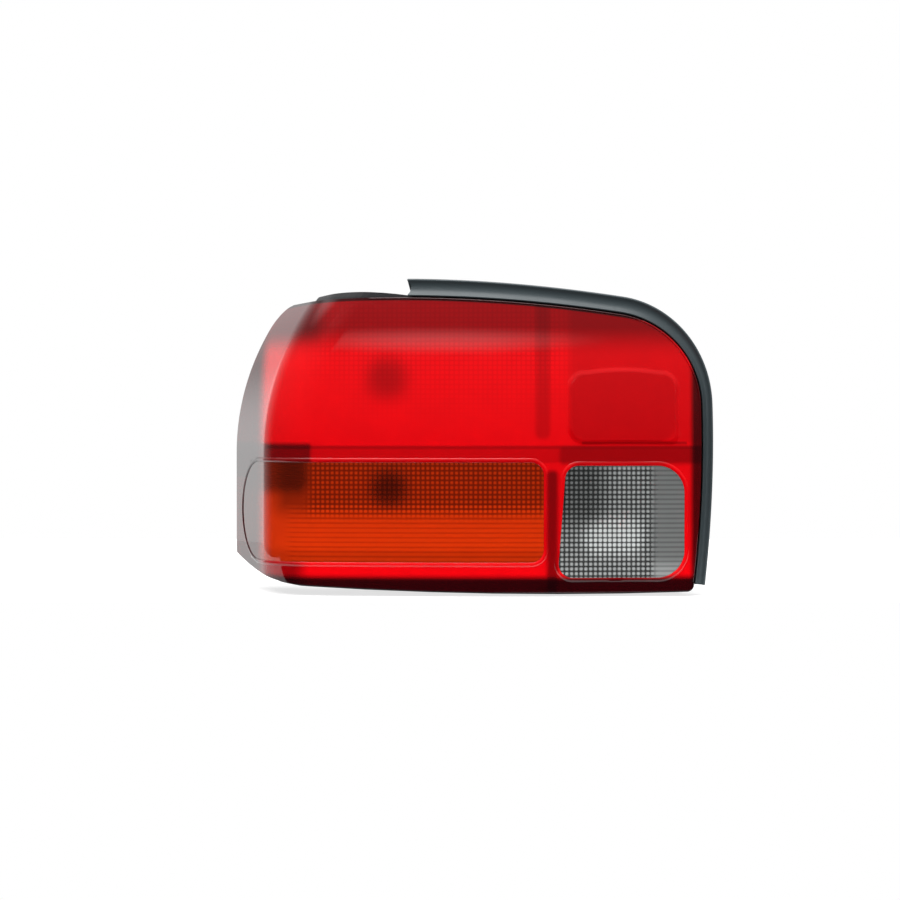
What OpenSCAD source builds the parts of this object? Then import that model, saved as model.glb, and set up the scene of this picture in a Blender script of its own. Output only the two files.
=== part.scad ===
// Rear lamp cluster for the left corner of a small hatchback.
// Seen from behind the car: +X to the right, +Z up, the lens faces -Y and wraps round the corner at -X.
// The origin is the centre of the four fixing studs, on the plane where the housing meets the body.

/* [Lens outline] */
// Furthest reach of the lens to the right of the studs' centre
lens_right = 147.3; // [142:0.1:156]
// Radius of the slight bow in the right edge
side_bow_r = 800; // [600:10:1200]
// Height of the top edge at its crest
lens_top = 90.8; // [88:0.1:94]
// Where the crest of the top edge lies
crest_x = -45; // [-60:1:-30]
// Radius of the long arc of the top edge
top_bow_r = 950; // [800:10:1400]
// Radius of the top right corner
corner_r = 59; // [50:1:64]
// Depth of the bottom edge below the studs' centre
lens_bottom = 94.4; // [92:0.1:98]
// Where the bottom edge lies lowest
sag_x = 60; // [40:1:80]
// Radius of the long arc of the bottom edge
bottom_bow_r = 2900; // [2400:20:4000]
// Radius of the wide lower left corner
left_toe_r = 90; // [80:1:110]
// Where the wide lower left corner starts
left_toe_x = -105; // [-112:1:-98]
// Radius of the bottom right corner
toe_r = 3; // [1.5:0.1:5]
// Radius of the lower corner at the flank's rear end
flank_toe_r = 25; // [18:0.5:28]
// Radius of the upper corner at the flank's rear end
flank_brow_r = 15; // [10:0.5:22]

/* [Lens surface] */
// Distance from the mounting plane to the middle of the lens face
lens_reach = 62; // [60:0.5:66]
// Where the face stands furthest out
face_mid_x = 25; // [10:1:40]
// Radius of the bow across the face, seen from above
face_bow_r = 1200; // [1000:20:2000]
// Where the face ends and the turn round the corner starts, left of the studs' centre
turn_x = 97; // [94:0.5:100]
// Radius of the turn, seen from above
turn_r = 40; // [34:0.5:44]
// Angle between the flank and the face
flank_angle = 68; // [64:0.5:72]
// How far behind the mounting plane the flank reaches
flank_reach = 22; // [18:0.5:26]
// Height at which the flank starts to lean in
lean_start_z = -8; // [-16:1:0]
// Radius of the lean of the flank
lean_r = 170; // [160:1:200]
// Share of the flank's lean that the face has
face_lean = 0.3; // [0.2:0.05:0.5]
// Thickness of the lens
lens_wall = 3; // [2.6:0.1:3.4]
// Depth of the skirt round the lens
skirt_depth = 12; // [11:0.1:13]
// Thickness of the skirt
skirt_wall = 2.5; // [2.2:0.1:2.8]
// Spacing of the flutes inside the lens
flute_pitch = 3; // [2.8:0.1:4]
// Height of the flutes
flute_rise = 0.5; // [0.3:0.05:0.7]

/* [Windows] */
// Upper edge of the turn window, below the studs' centre
turn_top = 13; // [12.5:0.1:15]
// Height of the turn window
turn_height = 62.5; // [58:0.5:64]
// Right edge of the turn window
turn_right = 48; // [44:0.5:49]
// Corner radius of the turn window
turn_corner_r = 8; // [5:0.5:10]
// How far behind the mounting plane the turn window reaches round the flank
turn_reach = 8; // [4:0.5:10]
// Upper edge of the reversing window, below the studs' centre
rev_top = 15; // [14.5:0.1:17]
// Height of the reversing window
rev_height = 70; // [66:0.5:72]
// Left edge of the reversing window, at its foot
rev_left = 57.5; // [57:0.1:60]
// Width of the reversing window
rev_width = 79; // [74:0.5:80]
// Lean of its left edge over its height
rev_lean = 4; // [2:0.1:6]
// Corner radius of its right side
rev_corner_r = 17; // [12:0.5:19]
// Gap left for the weld round a window
weld_gap = 0.1; // [0.05:0.01:0.2]
// How far a window's border stands proud of the lens
frame_rise = 0.9; // [0.6:0.1:1.2]
// Thickness of a window's border bead
frame_r = 1.5; // [1.2:0.1:1.8]
// How far the blank panel stands proud of the lens
panel_rise = 1.1; // [0.5:0.1:1.4]
// Width of the blank panel
panel_w = 68; // [60:1:70]
// Height of the blank panel
panel_h = 46; // [40:1:50]
// Left edge of the blank panel
panel_left = 64; // [62:0.5:66]
// Foot of the blank panel, above the studs' centre
panel_foot = -0.6; // [-1.5:0.1:1]
// Corner radius of the blank panel
panel_r = 10; // [8:0.5:14]

/* [Housing] */
// Wall of the housing
wall = 2.5; // [2:0.1:3]
// Seat of the skirt's edge over the floor of its channel
bead_h = 1.7; // [1.4:0.1:2]
// Thickness of the rim round the housing
rim_t = 6.5; // [6:0.1:8]
// How far the rim stands out past the lens
rim_lip = 1.6; // [1.4:0.1:2]
// How far the rim's inner edge lies inside the lens outline
rim_in = 6.5; // [6:0.1:7.5]
// How far the brow of the rim stands above the top edge of the lens
brow_rise = 4.1; // [3:0.1:5]
// Where the brow stands highest
brow_x = -69; // [-72:1:-66]
// Radius of the brow
brow_bow_r = 220; // [200:5:260]
// Inset of the tub's side walls from the lens outline
tub_in = 3; // [2:0.1:4]
// Where the leg behind the flank starts
leg_x = -103; // [-105:0.5:-101]
// Width of the leg at its rear end, seen from above
leg_w = 34; // [28:0.5:38]
// Clearance of the skirt in its channel
channel_gap = 0.3; // [0.2:0.05:0.4]

/* [Fixings] */
// Spacing of the studs across
stud_span_x = 173; // [168:1:173]
// Spacing of the studs up and down
stud_span_z = 122; // [120:1:123]
// Radius of a stud
stud_r = 2.5; // [2:0.1:2.6]
// Reach of a stud behind the housing
stud_l = 22; // [16:0.5:30]
// Radius of a stud's boss
stud_boss_r = 7; // [6:0.5:8]
// Radius of the knurled shank by which a stud sits in its boss
stud_shank_r = 3; // [2.8:0.1:3.5]
// Radius of the locating peg
peg_r = 4; // [3:0.1:5]
// Reach of the locating peg
peg_l = 10; // [7:0.5:14]
// Where the locating peg lies, right of the studs' centre
peg_x = 120; // [116:1:124]
// Height of the locating peg
peg_z = 20; // [14:1:26]
// Thickness of the body gasket
gasket_t = 5; // [3:0.5:6]
// Width of the body gasket
gasket_w = 4; // [4:0.5:6]

/* [Bulbs and holders] */
// Where the stop and turn bulbs lie, left of the studs' centre
left_bulb_x = -51; // [-55:0.5:-47]
// Height of the stop bulb
stop_bulb_z = 39; // [36:0.5:42]
// Depth of the two lower bulbs below the studs' centre
low_bulb_z = -31; // [-34:0.5:-29]
// Where the reversing bulb lies
rev_bulb_x = 80; // [78:0.5:84]
// Radius of a bulb's glass
bulb_r = 12; // [11:0.1:13]
// Thickness of a bulb's glass
glass_t = 0.8; // [0.6:0.1:1]
// Radius of a bulb's cap
cap_r = 7.5; // [7:0.1:8]
// Length of a bulb's cap
cap_l = 15; // [14:0.5:16]
// Distance from the cap's rear end to the middle of the glass
light_l = 29; // [28:0.5:31]
// How far ahead of the mounting plane a cap's rear end lies
cap_seat = 7; // [6:0.5:8]
// Radius of a holder's barrel
barrel_r = 15; // [14:0.1:16]
// Radius of a holder's grip flange
grip_r = 19.5; // [18.5:0.1:21]
// Thickness of the grip flange
grip_t = 3.5; // [3:0.1:4.5]
// Thickness of the seal under the grip flange
seal_t = 1.5; // [1.2:0.1:2]
// Radius of the holder's rear body
body_r = 12.5; // [11.5:0.1:13.5]
// Length of the holder's rear body
body_l = 10; // [8:0.5:12]
// Length of the connector inlet
inlet_l = 12; // [10:0.5:14]
// Clearance of a holder in its bore
holder_gap = 0.3; // [0.2:0.05:0.4]
// Width of a terminal blade
blade_w = 6.3; // [4.8:0.1:6.3]
// Thickness of a terminal blade
blade_t = 0.8; // [0.6:0.1:1]

/* [Reflector] */
// Wall of the reflector
mirror_wall = 1.4; // [1.2:0.1:1.8]
// Depth of the chamber floors ahead of the mounting plane
floor_y = 30; // [28:0.5:33]
// Depth of the blank chamber's floor ahead of the mounting plane
blank_floor_y = 44; // [42:0.5:47]
// Focal length of the bowls
bowl_f = 22; // [20:0.5:26]
// Depth of a bowl's pole ahead of the mounting plane
bowl_pole_y = 15; // [14:0.5:16]
// Gap between the reflector and the inside of the lens
mirror_gap = 2.5; // [2:0.1:3]
// Height of the wall between the upper and lower chambers
shelf_z = -5.5; // [-7:0.1:-5]
// Where the wall between the left and right chambers lies
post_x = 53; // [51.5:0.1:54]
// Radius of a reflector screw
screw_r = 2; // [1.7:0.1:2.3]

/* [Trim strip] */
// Width of the trim strip along the top
strip_w = 12.1; // [11:0.1:13]
// Width of the trim strip down the right side
strip_side_w = 7.7; // [7:0.1:9]
// Gap in which the lens edge shows beside the strip
strip_off = 1.1; // [0.6:0.1:1.4]
// Where the strip starts
strip_x = -35; // [-45:1:-20]
// Height of the strip's lower end above the lens bottom
strip_foot = 5; // [3:0.5:10]
// How far behind the lens surface the strip's lips lie
strip_sink = 2.5; // [2:0.1:4]
// Depth of the cove along the strip
cove = 2.2; // [1.5:0.1:2.6]

/* [Hidden] */
$fn = 64;
// A length past the whole lamp, for cutting blocks
far = 260;
// Small overlap where a cut passes through a face
cut = 1;

// Plan of the lens surface: the face, the turn and the flank. Angles are those that the surface faces,
// from straight back to the left.
turn_start = asin((face_mid_x + turn_x) / face_bow_r);
face_right = -asin((lens_right + 30 - face_mid_x) / face_bow_r);
face_steps = 6;
turn_steps = 8;
flank_run = (flank_reach + 40) / sin(flank_angle);
function facing(a) = [-sin(a), -cos(a)];
flank_in = -facing(flank_angle);
flank_along = [-cos(flank_angle), sin(flank_angle)];
face_centre = [face_mid_x, face_bow_r - lens_reach];
turn_base = face_centre + (face_bow_r - turn_r) * facing(turn_start);
flank_start = turn_base + turn_r * facing(flank_angle);

// How far the flank leans in at a height. The face leans in by its share, and the turn moves in between them.
function lean(z) = z < lean_start_z ? 0 : lean_r - sqrt(pow(lean_r, 2) - pow(z - lean_start_z, 2));
function face_r(z) = face_bow_r - face_lean * lean(z);
function turn_centre(z) =
  let (rho = face_r(z) - turn_r, h = lean(z) + (turn_base - face_centre) * flank_in)
  face_centre + h * flank_in - sqrt(rho * rho - h * h) * flank_along;
function turn_from(z) = let (q = face_centre - turn_centre(z)) atan2(q[0], q[1]);

skin_rows = [-112, lean_start_z, 12, 30, 47, 63, 78, 92, 108];
back_y = 60;

// Plan of the lens surface at a height, moved in by a depth
function turn_points(z, depth, first) = let (c = turn_centre(z), a0 = turn_from(z))
  [for (i = [first:turn_steps]) c + (turn_r - depth) * facing(a0 + (flank_angle - a0) * i / turn_steps)];
function plan(z, depth) = let (a0 = turn_from(z)) concat(
  [for (i = [0:face_steps - 1])
    face_centre + (face_r(z) - depth) * facing(face_right + (a0 - face_right) * i / face_steps)],
  turn_points(z, depth, 0),
  [turn_centre(z) + (turn_r - depth) * facing(flank_angle) + flank_run * flank_along]
);

// Everything that lies more than a depth behind the lens surface, as rings stacked up in height.
// Flutes are rows whose depth swings in and out.
function ring(z, depth) = let (line = plan(z, depth)) concat(
  [[lens_right + 60, back_y, z]],
  [for (p = line) [p[0], p[1], z]],
  [[line[len(line) - 1][0], back_y, z]]
);
module stack(rings) {
  n = len(rings[0]);
  m = len(rings);
  polyhedron(
    points = [for (r = rings) each r],
    faces = concat(
      [[for (i = [n - 1:-1:0]) i]],
      [for (j = [0:m - 2]) for (i = [0:n - 1]) let (k = (i + 1) % n)
        [j * n + i, (j + 1) * n + k, (j + 1) * n + i]],
      [for (j = [0:m - 2]) for (i = [0:n - 1]) let (k = (i + 1) % n)
        [j * n + i, j * n + k, (j + 1) * n + k]],
      [[for (i = [0:n - 1]) (m - 1) * n + i]]
    )
  );
}
module behind(depth) stack([for (z = skin_rows) ring(z, depth)]);
module behind_flutes(depth, z_low, z_high) {
  rows = floor((z_high - z_low) / flute_pitch);
  stack(concat(
    [ring(-112, depth)],
    [for (i = [0:2 * rows]) ring(z_low + i * flute_pitch / 2, depth + (i % 2) * flute_rise)],
    [ring(z_low + (rows + 0.5) * flute_pitch, depth), ring(108, depth)]
  ));
}

// Outline of the lens from behind the car, drawn from arcs that share their centres at any inset
top_centre = [crest_x, lens_top - top_bow_r];
side_centre = [lens_right - side_bow_r, 0];
// Centre of a circle that touches two others from inside, from its distance to both their centres
function meeting(c1, r1, c2, r2) =
  let (d = norm(c2 - c1), u = (c2 - c1) / d, a = (d * d + r1 * r1 - r2 * r2) / (2 * d))
  c1 + a * u + sqrt(r1 * r1 - a * a) * [u[1], -u[0]];
corner_centre = meeting(top_centre, top_bow_r - corner_r, side_centre, side_bow_r - corner_r);
bottom_centre = [sag_x, bottom_bow_r - lens_bottom];
toe_centre = meeting(side_centre, side_bow_r - toe_r, bottom_centre, bottom_bow_r - toe_r);
left_toe_a = asin((sag_x - left_toe_x) / bottom_bow_r);
left_toe_centre = bottom_centre - (bottom_bow_r - left_toe_r) * [sin(left_toe_a), cos(left_toe_a)];

// Angles where one arc passes into the next, counted from +X
function bearing(p) = atan2(p[1], p[0]);
function heading(a) = [cos(a), sin(a)];
corner_a0 = bearing(corner_centre - top_centre);
corner_a1 = bearing(corner_centre - side_centre);
toe_a0 = bearing(toe_centre - side_centre);
toe_a1 = bearing(toe_centre - bottom_centre);
top_a0 = 99;
function arc(c, r, a0, a1, first, steps) =
  [for (i = [first:steps]) let (a = a0 + (a1 - a0) * i / steps) c + r * heading(a)];
function toe_points(inset) = inset > toe_r - 0.5
  ? [meeting(side_centre, side_bow_r - inset, bottom_centre, bottom_bow_r - inset)]
  : arc(toe_centre, toe_r - inset, toe_a0, toe_a1, 0, 6);
module face_outline(inset) polygon(concat(
  arc(top_centre, top_bow_r - inset, top_a0, corner_a0, 0, 14),
  arc(corner_centre, corner_r - inset, corner_a0, corner_a1, 1, 14),
  [for (i = [1:4]) side_centre + (side_bow_r - inset) * heading(corner_a1 + (toe_a0 - corner_a1) * i / 5)],
  toe_points(inset),
  arc(bottom_centre, bottom_bow_r - inset, toe_a1, -90 - left_toe_a, 1, 6),
  arc(left_toe_centre, left_toe_r - inset, -90 - left_toe_a, -180, 1, 10)
));
// Outline of the flank from the car's side, with Y across and Z up
module flank_outline(inset) {
  back = flank_reach - inset;
  low = inset - lens_bottom;
  toe = flank_toe_r - inset;
  brow = flank_brow_r - inset;
  high = lens_top + far / 4;
  difference() {
    translate([-far, low]) square([far + back, high - low]);
    translate([back - toe, low + toe]) difference() {
      translate([0, -far]) square(far);
      circle(toe);
    }
    if (brow > 0.5) translate([flank_reach - flank_brow_r, flank_top_z - flank_brow_r]) difference() {
      square(far);
      circle(brow);
    }
  }
}
// Height of the top edge where it meets the flank's rear end
flank_x = flank_start[0] - (flank_reach - flank_start[1]) / tan(flank_angle);
flank_top_z = top_centre[1] + sqrt(pow(top_bow_r, 2) - pow(flank_x + lean(lens_top) - crest_x, 2));

module across(y_front, y_back)
  translate([0, y_back, 0]) rotate([90, 0, 0]) linear_extrude(y_back - y_front) children();
module along_x() rotate([90, 0, 90]) translate([0, 0, -far]) linear_extrude(2 * far) children();
module outline_block(inset) {
  intersection() {
    across(-far / 2, back_y) face_outline(inset);
    along_x() flank_outline(inset);
  }
}

// Turn window: straight edges on the face, a round end on the flank
turn_foot = -turn_top - turn_height;
module turn_block(inset) {
  end_r = turn_height / 2 - inset;
  intersection() {
    across(-far / 2, back_y) polygon(concat(
      [[-far, -turn_top - inset]],
      arc([turn_right - turn_corner_r, -turn_top - turn_corner_r], turn_corner_r - inset, 90, 0, 0, 8),
      arc([turn_right - turn_corner_r, turn_foot + turn_corner_r], turn_corner_r - inset, 0, -90, 0, 8),
      [[-far, turn_foot + inset]]
    ));
    along_x() union() {
      translate([-far, turn_foot + inset]) square([far + turn_end_y, turn_height - 2 * inset]);
      translate([turn_end_y, turn_mid_z]) circle(end_r);
    }
  }
}
// Reversing window: its left edge leans, its right corners are wide
rev_foot = -rev_top - rev_height;
rev_small_r = rev_corner_r / 2;
module rev_outline(inset) {
  hull() {
    translate([rev_left + rev_small_r, rev_foot + rev_small_r]) circle(rev_small_r - inset);
    translate([rev_left + rev_lean + rev_small_r, -rev_top - rev_small_r]) circle(rev_small_r - inset);
    translate([rev_left + rev_width - rev_corner_r, rev_foot + rev_corner_r]) circle(rev_corner_r - inset);
    translate([rev_left + rev_width - rev_corner_r, -rev_top - rev_corner_r]) circle(rev_corner_r - inset);
  }
}
module rev_block(inset) across(-far / 2, back_y) rev_outline(inset);

// A point of the lens surface straight ahead of a place on the face
function face_y(x, z) = face_centre[1] - sqrt(pow(face_r(z), 2) - pow(x - face_mid_x, 2));
function flank_line_x(y) = flank_start[0] - (y - flank_start[1]) / tan(flank_angle);
bead_y = frame_r - frame_rise;

// Places round a rounded outline, as corner centre, radius and start angle
function corner_arc(c, r, a0, steps) =
  [for (i = [0:steps]) let (a = a0 - 90 * i / steps) c + r * [cos(a), sin(a)]];
function rev_loop(inset, depth) = [for (p = concat(
  corner_arc([rev_left + rev_lean + rev_small_r, -rev_top - rev_small_r], rev_small_r - inset, 180, 4),
  corner_arc([rev_left + rev_width - rev_corner_r, -rev_top - rev_corner_r], rev_corner_r - inset, 90, 5),
  corner_arc([rev_left + rev_width - rev_corner_r, rev_foot + rev_corner_r], rev_corner_r - inset, 0, 5),
  corner_arc([rev_left + rev_small_r, rev_foot + rev_small_r], rev_small_r - inset, -90, 4)
)) on_face(p, depth)];
turn_mid_z = turn_foot + turn_height / 2;
turn_end_y = turn_reach - turn_height / 2;
end_steps = 8;
function on_face(p, depth) = [p[0], face_y(p[0], p[1]) + depth, p[1]];
function turn_side(depth, z) = [for (p = turn_points(z, depth, 1)) [p[0], p[1], z]];
function turn_end(inset, depth) = [for (i = [0:end_steps])
  let (a = 180 * i / end_steps - 90, r = turn_height / 2 - inset, y = turn_end_y + r * cos(a))
  [flank_line_x(y) + depth, y, turn_mid_z + r * sin(a)]];
function turn_loop(inset, depth) = concat(
  [for (p = corner_arc([turn_right - turn_corner_r, -turn_top - turn_corner_r], turn_corner_r - inset, 90, 4))
    on_face(p, depth)],
  [for (p = corner_arc([turn_right - turn_corner_r, turn_foot + turn_corner_r], turn_corner_r - inset, 0, 4))
    on_face(p, depth)],
  turn_side(depth, turn_foot + inset),
  turn_end(inset, depth),
  [for (i = [turn_steps - 1:-1:0]) turn_side(depth, -turn_top - inset)[i]]
);
module bead(path, r) {
  n = len(path);
  for (i = [0:n - 1]) hull() {
    translate(path[i]) sphere(r, $fn = 6);
    translate(path[(i + 1) % n]) sphere(r, $fn = 6);
  }
}

// Blank panel, arched along its top
module panel_outline() {
  intersection() {
    hull() {
      translate([panel_left + panel_r, panel_foot + panel_r]) circle(panel_r);
      translate([panel_left + panel_w - panel_r / 2, panel_foot + panel_r / 2]) circle(panel_r / 2);
      translate([panel_left + panel_r, panel_foot + panel_h]) circle(panel_r);
      translate([panel_left + panel_w - panel_r, panel_foot + panel_h]) circle(panel_r);
    }
    translate([panel_left + panel_w / 2, panel_foot + panel_h - 2 * panel_w]) circle(2 * panel_w, $fn = 256);
  }
}

module lens_red() color("#c4060c") {
  difference() {
    union() {
      intersection() {
        behind(0);
        outline_block(0);
      }
      intersection() {
        behind(-panel_rise);
        across(-far / 2, 0) panel_outline();
        outline_block(rim_in);
      }
    }
    intersection() {
      behind_flutes(lens_wall, 0, lens_top - 2 * flute_pitch);
      outline_block(skirt_wall);
    }
    behind(skirt_depth);
    turn_block(-weld_gap);
    rev_block(-weld_gap);
  }
  difference() {
    union() {
      bead(turn_loop(0, bead_y), frame_r);
      bead(rev_loop(0, bead_y), frame_r);
    }
    turn_block(-weld_gap);
    rev_block(-weld_gap);
    behind(lens_wall);
  }
}

// A window: the same skin with its own flutes, and a weld rib behind its edge
rib_r = 0.9;
module window(z0, z1) difference() {
  behind(0);
  behind_flutes(lens_wall, z0, z1);
}
module lens_amber() color("#e0500a") {
  intersection() {
    window(turn_foot, -turn_top);
    turn_block(0);
  }
  bead(turn_loop(2 * rib_r, lens_wall), rib_r);
}
module lens_clear() color("#dfe4e6") {
  intersection() {
    window(rev_foot, -rev_top);
    rev_block(0);
  }
  bead(rev_loop(2 * rib_r, lens_wall), rib_r);
}

// Housing
seat_depth = skirt_depth + bead_h;
rim_front = seat_depth - rim_t + wall;
tub_front = rim_front + rim_t;
leg_back = flank_reach - tub_in;
leg_in_x = flank_line_x(leg_back) + leg_w;
// Plan of what lies ahead of the housing's back walls, moved forward by an inset
module back_plan(inset) polygon([
  [far, -far], [far, -inset], [leg_x - inset, -inset], [leg_in_x - inset, leg_back - inset],
  [-far, leg_back - inset], [-far, -far]
]);
module tub(side_in, inset) {
  intersection() {
    outline_block(side_in);
    translate([0, 0, -far / 2]) linear_extrude(far) back_plan(inset);
  }
}
// Crescent by which the rim stands above the lens, left of the trim strip
brow_w = 112;
module brow() across(-far / 2, 0) intersection() {
  translate([brow_x, lens_top + brow_rise - brow_bow_r]) circle(brow_bow_r, $fn = 360);
  translate([brow_x - brow_w / 2, lens_top - 10]) square([brow_w, 30]);
}
studs = [for (sx = [-1, 1]) for (sz = [-1, 1]) [sx * stud_span_x / 2, sz * stud_span_z / 2]];
bulbs = [[left_bulb_x, stop_bulb_z], [left_bulb_x, low_bulb_z], [rev_bulb_x, low_bulb_z]];
screws = [[28, 20], [28, -58], [118, 58], [122, -58]];
screw_seats = [floor_y, floor_y, blank_floor_y, floor_y];
module rod(p, r, y0, y1) translate([p[0], y1, p[1]]) rotate([90, 0, 0]) cylinder(r = r, h = y1 - y0);
vent_at = [10, 64];
vent_r = 6;
lug_l = 3;
lug_w = 6;
lug_t = 2.5;
lug_gap = 0.3;
screw_bite = 10;
module lugs(grow, y0, y1) for (a = [0, 120, 240]) rotate([0, a, 0])
  translate([-lug_w / 2 - grow, y0, 0]) cube([lug_w + 2 * grow, y1 - y0, barrel_r + lug_l + grow]);
module housing() color("#1b1c1e") {
  difference() {
    union() {
      intersection() {
        behind(tub_front - cut);
        tub(tub_in, 0);
      }
      difference() {
        intersection() {
          behind(rim_front);
          union() {
            outline_block(-rim_lip);
            brow();
          }
        }
        behind(tub_front);
        outline_block(rim_in);
      }
    }
    tub(tub_in + wall, wall);
    difference() {
      outline_block(-channel_gap);
      outline_block(skirt_wall + channel_gap);
      behind(seat_depth);
    }
    for (b = bulbs) {
      rod(b, barrel_r + holder_gap, -wall - cut, cut);
      translate([b[0], 0, b[1]]) lugs(holder_gap, -wall - cut, cut);
    }
    rod(vent_at, vent_r - 2, -wall - cut, cut);
    for (s = studs) rod(s, stud_shank_r, -stud_seat, cut);
  }
  for (i = [0:len(screws) - 1]) difference() {
    rod(screws[i], 2 * screw_r, mirror_wall - screw_seats[i], -wall / 2);
    rod(screws[i], screw_r, -far, screw_bite + mirror_wall - screw_seats[i]);
  }
  for (s = studs) difference() {
    rod(s, stud_boss_r, -stud_seat, -wall / 2);
    rod(s, stud_shank_r, -stud_seat - cut, 0);
  }
  rod([peg_x, peg_z], peg_r, -wall / 2, peg_l);
}
stud_seat = 9;
stud_head_t = 2.5;
module mounting_studs() color("#b8b39a") for (s = studs) {
  rod(s, stud_r, -stud_seat, stud_l);
  rod(s, stud_shank_r, -stud_seat, 0);
  rod(s, stud_boss_r - 1, -stud_seat - stud_head_t, -stud_seat);
}

module lens_seal() color("#3a3d40") difference() {
  intersection() {
    behind(skirt_depth);
    outline_block(0);
  }
  behind(seat_depth);
  outline_block(skirt_wall);
}

// Reflector: one moulding with four chambers and three bowls
chamber_in = rim_in + 0.5;
slant_x = -112;
slant_back_x = -122;
slant_back_y = 8;
module left_plan(grow) polygon([
  [post_x - mirror_wall + grow, -far], [post_x - mirror_wall + grow, grow - floor_y],
  [slant_x + grow, grow - floor_y], [slant_back_x + grow, slant_back_y + grow],
  [-far, slant_back_y + grow], [-far, -far]
]);
module right_plan(grow, depth) polygon([
  [post_x - grow, -far], [post_x - grow, grow - depth], [far, grow - depth], [far, -far]
]);
module rise(z0, z1) translate([0, 0, z0]) linear_extrude(z1 - z0) children();
bulb_pass = 0.6;
bowl_steps = 7;
bowl_r = sqrt(4 * bowl_f * (floor_y - bowl_pole_y));
module bowl(p, grow) translate([p[0], -bowl_pole_y, p[1]]) rotate([90, 0, 0]) rotate_extrude()
  polygon(concat(
    [for (i = [0:bowl_steps]) let (r = bowl_r * i / bowl_steps)
      [r + grow * min(1, i), r * r / (4 * bowl_f) - grow]],
    [[bowl_r + grow, floor_y - bowl_pole_y + cut], [0, floor_y - bowl_pole_y + cut]]
  ));
module chambers(grow) {
  rise(shelf_z - grow, far / 2) left_plan(grow);
  rise(-far / 2, shelf_z - mirror_wall + grow) left_plan(grow);
  rise(shelf_z - grow, far / 2) right_plan(grow, blank_floor_y);
  rise(-far / 2, shelf_z - mirror_wall + grow) right_plan(grow, floor_y);
}
module left_side(grow) translate([-far, -far]) square([far + post_x - mirror_wall + grow, 2 * far]);
module right_side(grow) translate([post_x - grow, -far]) square([far, 2 * far]);
module bowls(grow) {
  intersection() {
    bowl(bulbs[0], grow);
    rise(shelf_z - grow, far / 2) left_side(grow);
  }
  intersection() {
    bowl(bulbs[1], grow);
    rise(-far / 2, shelf_z - mirror_wall + grow) left_side(grow);
  }
  intersection() {
    bowl(bulbs[2], grow);
    rise(-far / 2, shelf_z - mirror_wall + grow) right_side(grow);
  }
}
module reflector() color("#c9ccd0") difference() {
  intersection() {
    behind(lens_wall + mirror_gap);
    outline_block(chamber_in - mirror_wall);
    union() {
      chambers(mirror_wall);
      bowls(mirror_wall);
    }
  }
  intersection() {
    outline_block(chamber_in);
    union() {
      chambers(0);
      bowls(0);
    }
  }
  for (b = bulbs) rod(b, bulb_r + bulb_pass, -floor_y, 0);
  for (s = screws) rod(s, screw_r + 0.2, -far, 0);
}
module reflector_screws() color("#8f9296") for (i = [0:len(screws) - 1]) {
  rod(screws[i], screw_r, -screw_seats[i], screw_bite + mirror_wall - screw_seats[i] - 1);
  rod(screws[i], 2 * screw_r, -screw_seats[i] - 2.2, -screw_seats[i]);
}

// Trim strip: one moulded section carried along the top, round the corner and down the right side
strip_a0 = acos((strip_x - crest_x) / top_bow_r);
strip_a1 = asin((strip_foot - lens_bottom) / side_bow_r);
function ease(t) = t * t * (3 - 2 * t);
function strip_arc(c, r, a0, a1, w0, w1, first, steps) =
  [for (i = [first:steps]) let (t = i / steps, a = a0 + (a1 - a0) * t)
    [c + r * [cos(a), sin(a)], a, w0 + (w1 - w0) * ease(t)]];
strip_path = concat(
  strip_arc(top_centre, top_bow_r, strip_a0, corner_a0, strip_w, strip_w - 0.6, 0, 8),
  strip_arc(corner_centre, corner_r, corner_a0, corner_a1, strip_w - 0.6, strip_side_w, 1, 14),
  strip_arc(side_centre, side_bow_r, corner_a1, strip_a1, strip_side_w, strip_side_w, 1, 5)
);
strip_gap = 0.3;
lip = 1.1;
cove_in = strip_off + 0.85;
rim_grip = rim_lip + strip_gap;
// Front and back chains of the section: distance out from the lens edge, and depth behind the surface
function strip_front(w) = [
  [strip_off, strip_sink + 0.8], [cove_in, strip_sink],
  [cove_in + (w - lip - cove_in) * 0.2, strip_sink + cove * 0.64],
  [(w - lip + cove_in) / 2, strip_sink + cove],
  [w - lip - (w - lip - cove_in) * 0.2, strip_sink + cove * 0.64],
  [w - lip, strip_sink - 0.4], [w, strip_sink + 0.6]
];
function strip_back(w) = [
  [strip_off, rim_front - strip_gap], [rim_grip, rim_front - strip_gap], [rim_grip, rim_front + rim_t / 3],
  [rim_grip, tub_front - 0.6], [rim_grip + (w - rim_grip) * 0.6, tub_front - 0.6],
  [rim_grip + (w - rim_grip) * 0.8, rim_front + 2], [w, rim_front - 1]
];
strip_flare = 2.4;
function strip_point(p, q, k) =
  let (xz = p[0] + q[0] * [cos(p[1]), sin(p[1])], on = face_y(xz[0], xz[1]) + q[1],
    end = k == 0 ? strip_flare * (strip_sink + cove - min(q[1], strip_sink + cove)) / cove : 0)
  [xz[0] - end, on, xz[1]];
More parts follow.
